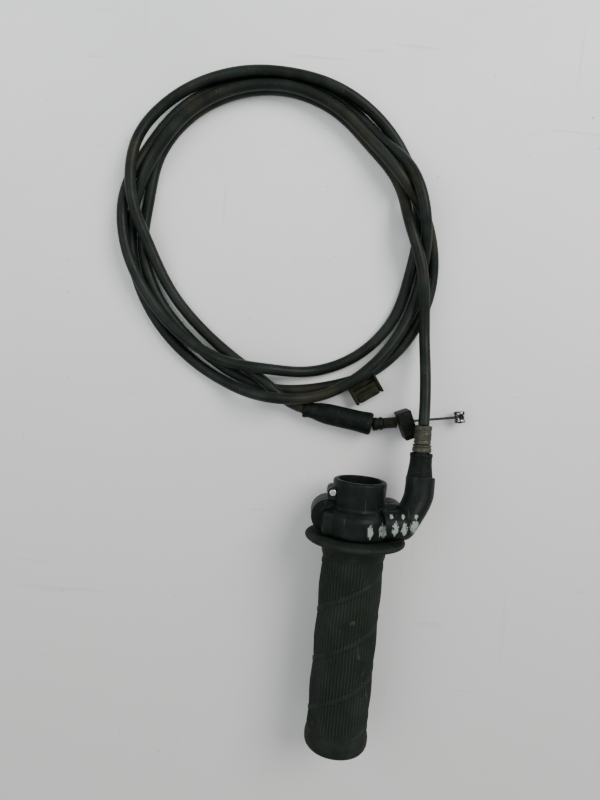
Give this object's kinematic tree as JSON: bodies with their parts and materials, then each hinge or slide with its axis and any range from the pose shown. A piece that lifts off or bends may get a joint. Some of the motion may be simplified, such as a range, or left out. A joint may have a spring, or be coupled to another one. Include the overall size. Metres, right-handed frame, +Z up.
{
  "type": "throttle grip",
  "caption": "Motorcycle twist throttle: rubber grip on a turning tube in a split housing, with a moulded elbow and a long sheathed cable to the carburettor end.",
  "frame": {"origin": "on the supporting surface, below the middle of the grip and housing measured without the cable", "axes": "+Y along the handlebar from the grip's outer end to the housing's collar, +Z up from the surface, +X towards the elbow"},
  "size_m": [0.1991, 0.3575, 0.0528],
  "materials": {
    "black_plastic": "worn satin black moulding",
    "grip_rubber": "matt black ribbed rubber",
    "soft_rubber": "smooth matt black rubber",
    "cable_vinyl": "slightly glossy black vinyl jacket",
    "brown_plastic": "olive brown moulded clip",
    "white_nylon": "off-white sliding plastic",
    "dull_steel": "dull grey-brown plated steel",
    "bright_steel": "bare bright steel",
    "black_nut": "near-black square block"
  },
  "bodies": {
    "grip": {"throttle_tube": "white_nylon", "grip_rubber": "grip_rubber", "drum_nipple": "bright_steel", "drum_wire": "bright_steel"},
    "inner_wire": {"carb_wire": "bright_steel", "carb_nipple": "bright_steel"},
    "housing": {"housing_upper": "black_plastic", "housing_lower": "black_plastic", "screw_left": "dull_steel", "screw_right": "dull_steel", "clamp_screw": "bright_steel", "thrust_washer": "white_nylon", "elbow_pipe": "dull_steel", "elbow_boot": "soft_rubber", "pipe_band": "dull_steel", "pipe_ferrule": "dull_steel", "pipe_wire": "bright_steel", "cable_jacket": "cable_vinyl", "cable_clip": "brown_plastic", "carb_boot": "soft_rubber", "carb_ferrule": "dull_steel", "carb_adjuster": "dull_steel", "carb_nut": "black_nut"}
  },
  "joints": [
    {"name": "throttle_twist", "type": "hinge", "parent": "housing", "child": "grip", "pos_m": [-0.00625, 0.026, 0.0264], "axis": [0, -1, 0], "range_deg": [0, 80]},
    {"name": "wire_pull", "type": "slide", "parent": "housing", "child": "inner_wire", "axis": [-0.9847, -0.1634, 0.0613], "range_m": [0, 0.0185]}
  ],
  "couplings": [
    {"joint": "wire_pull", "follows": "throttle_twist", "m_per_rad": 0.0132}
  ]
}
